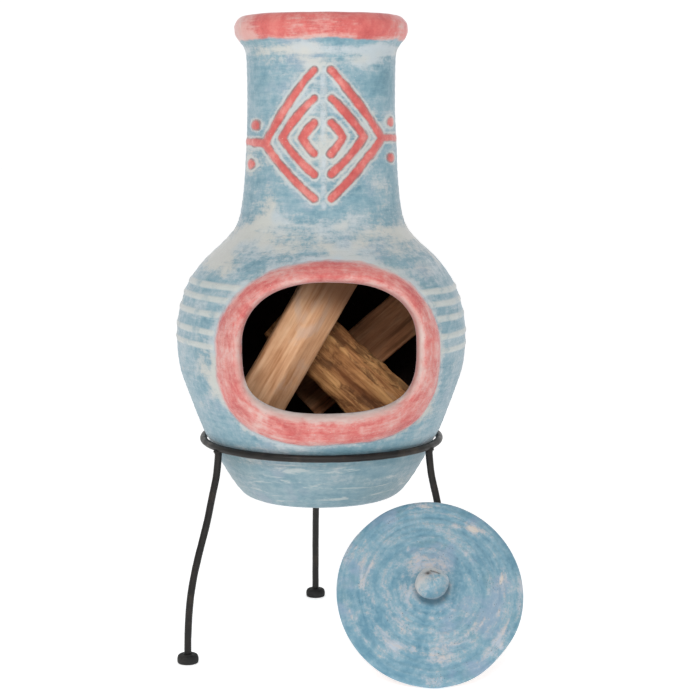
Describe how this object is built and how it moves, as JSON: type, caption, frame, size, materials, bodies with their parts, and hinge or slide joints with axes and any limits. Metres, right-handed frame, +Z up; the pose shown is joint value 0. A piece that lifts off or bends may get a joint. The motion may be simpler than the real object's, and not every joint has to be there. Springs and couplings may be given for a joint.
{
  "type": "chiminea",
  "caption": "Free-standing clay patio stove: bulbous firebox with a wide mouth and tall open neck, held in an iron tripod ring stand, with its loose domed lid.",
  "frame": {"origin": "on the floor, at the middle of the bottom of the overall box; the pot's own axis is at x = -0.0400, y = 0.0030", "axes": "+Z up, along the chimney; -Y is the front, where the fire mouth looks; +X is the right-hand side, where the lid leans"},
  "size_m": [0.5666, 0.5573, 1.045],
  "materials": {
    "blue_clay": "matte",
    "lid_clay": "matte",
    "coral_clay": "matte",
    "chalk_clay": "matte",
    "black_iron": "satin",
    "black_rubber": "matte",
    "pale_wood": "matte",
    "brown_wood": "matte",
    "dark_wood": "matte"
  },
  "bodies": {
    "stand": {"stand_ring": "black_iron", "leg_front_left": "black_iron", "leg_front_right": "black_iron", "leg_rear": "black_iron", "foot_front_left": "black_rubber", "foot_front_right": "black_rubber", "foot_rear": "black_rubber"},
    "pot": {"clay_base": "blue_clay", "clay_belly_lower": "blue_clay", "clay_belly_upper": "blue_clay", "clay_shoulder": "blue_clay", "clay_throat": "blue_clay", "clay_neck": "blue_clay", "chimney_rim": "coral_clay", "mouth_collar": "coral_clay", "diamond_left_outer": "coral_clay", "diamond_left_middle": "coral_clay", "diamond_left_inner": "coral_clay", "diamond_right_outer": "coral_clay", "diamond_right_middle": "coral_clay", "diamond_right_inner": "coral_clay", "diamond_spine": "chalk_clay", "neck_bar_left": "coral_clay", "neck_bar_right": "coral_clay", "neck_dot_left_top": "coral_clay", "neck_dot_left_bottom": "coral_clay", "neck_dot_right_top": "coral_clay", "neck_dot_right_bottom": "coral_clay", "belly_band_1": "chalk_clay", "belly_band_2": "chalk_clay", "belly_band_3": "chalk_clay", "belly_band_4": "chalk_clay", "belly_band_5": "chalk_clay", "log_front": "pale_wood", "log_middle": "brown_wood", "log_back": "dark_wood", "log_floor": "brown_wood"},
    "lid": {"lid_disc": "lid_clay", "lid_knob": "lid_clay"}
  },
  "joints": [
    {"name": "pot_lift", "type": "slide", "parent": "stand", "child": "pot", "axis": [0, 0, 1], "range_m": [0, 0.25]},
    {"name": "lid_lift", "type": "slide", "parent": "stand", "child": "lid", "axis": [0.0146, -0.8385, 0.5446], "range_m": [0, 0.3]}
  ]
}
